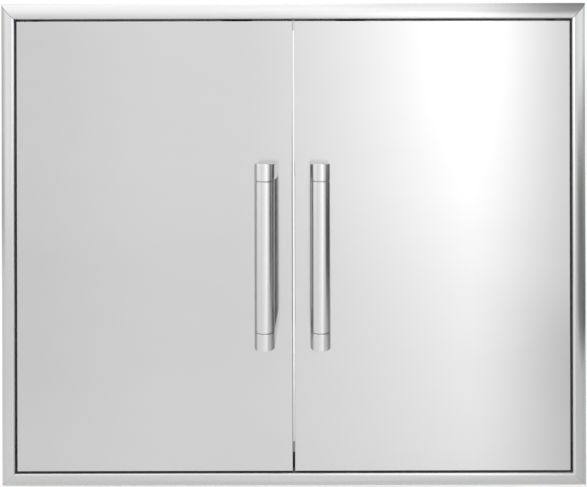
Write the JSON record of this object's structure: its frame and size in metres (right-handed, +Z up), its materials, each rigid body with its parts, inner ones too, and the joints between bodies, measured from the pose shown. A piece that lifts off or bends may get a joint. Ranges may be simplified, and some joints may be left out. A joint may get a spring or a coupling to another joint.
{
  "type": "double access door",
  "caption": "Mitred stainless frame with two inset swinging doors, bar handles and magnetic catches, for the opening of an outdoor kitchen island.",
  "frame": {"origin": "centre of the opening, in the plane of the wall's front face that the flange lies on", "axes": "+X to the right as seen from the front, +Y into the wall, +Z up; the doors and handles stand towards -Y"},
  "size_m": [0.8, 0.1265, 0.66],
  "materials": {
    "door_steel": "fine brushed",
    "moulding_steel": "satin, brushed along each rail",
    "handle_steel": "satin, turned",
    "sleeve_steel": "mill",
    "plain_steel": "mill",
    "blackened_steel": "blackened",
    "plated_steel": "zinc plated",
    "black_plastic": "moulded",
    "nylon": "oil-filled, black",
    "ferrite": "ground",
    "black_rubber": "matte"
  },
  "bodies": {
    "frame": {"catch_body_screws": "plated_steel", "catch_bracket_nuts": "plated_steel", "catch_bracket_screws": "plated_steel", "head_moulding": "moulding_steel", "head_sleeve": "sleeve_steel", "hinge_plate_nuts": "plated_steel", "hinge_plate_screws": "plated_steel", "hinge_washers": "nylon", "left_catch_body": "black_plastic", "left_catch_bracket": "plain_steel", "left_catch_magnet": "ferrite", "left_lower_hinge_plate": "blackened_steel", "left_lower_pivot_pin": "plated_steel", "left_moulding": "moulding_steel", "left_sleeve": "sleeve_steel", "left_upper_hinge_plate": "blackened_steel", "left_upper_pivot_pin": "plated_steel", "right_catch_body": "black_plastic", "right_catch_bracket": "plain_steel", "right_catch_magnet": "ferrite", "right_lower_hinge_plate": "blackened_steel", "right_lower_pivot_pin": "plated_steel", "right_moulding": "moulding_steel", "right_sleeve": "sleeve_steel", "right_upper_hinge_plate": "blackened_steel", "right_upper_pivot_pin": "plated_steel", "sill_buffers": "black_rubber", "sill_moulding": "moulding_steel", "sill_sleeve": "sleeve_steel", "sill_stop": "sleeve_steel"},
    "left_door": {"left_door_liner": "sleeve_steel", "left_door_skin": "door_steel", "left_door_stiffener": "plain_steel", "left_handle_backing_plate": "plain_steel", "left_handle_lower_post": "handle_steel", "left_handle_screws": "plated_steel", "left_handle_tube": "handle_steel", "left_handle_upper_post": "handle_steel", "left_lower_pivot_block": "nylon", "left_striker": "plain_steel", "left_striker_rivets": "plated_steel", "left_upper_pivot_block": "nylon"},
    "right_door": {"right_door_liner": "sleeve_steel", "right_door_skin": "door_steel", "right_door_stiffener": "plain_steel", "right_handle_backing_plate": "plain_steel", "right_handle_lower_post": "handle_steel", "right_handle_screws": "plated_steel", "right_handle_tube": "handle_steel", "right_handle_upper_post": "handle_steel", "right_lower_pivot_block": "nylon", "right_striker": "plain_steel", "right_striker_rivets": "plated_steel", "right_upper_pivot_block": "nylon"}
  },
  "joints": [
    {"name": "left_door_hinge", "type": "hinge", "parent": "frame", "child": "left_door", "pos_m": [-0.36, -0.0035, 0], "axis": [0, 0, -1], "range_deg": [0, 110]},
    {"name": "right_door_hinge", "type": "hinge", "parent": "frame", "child": "right_door", "pos_m": [0.36, -0.0035, 0], "axis": [0, 0, 1], "range_deg": [0, 110]}
  ]
}
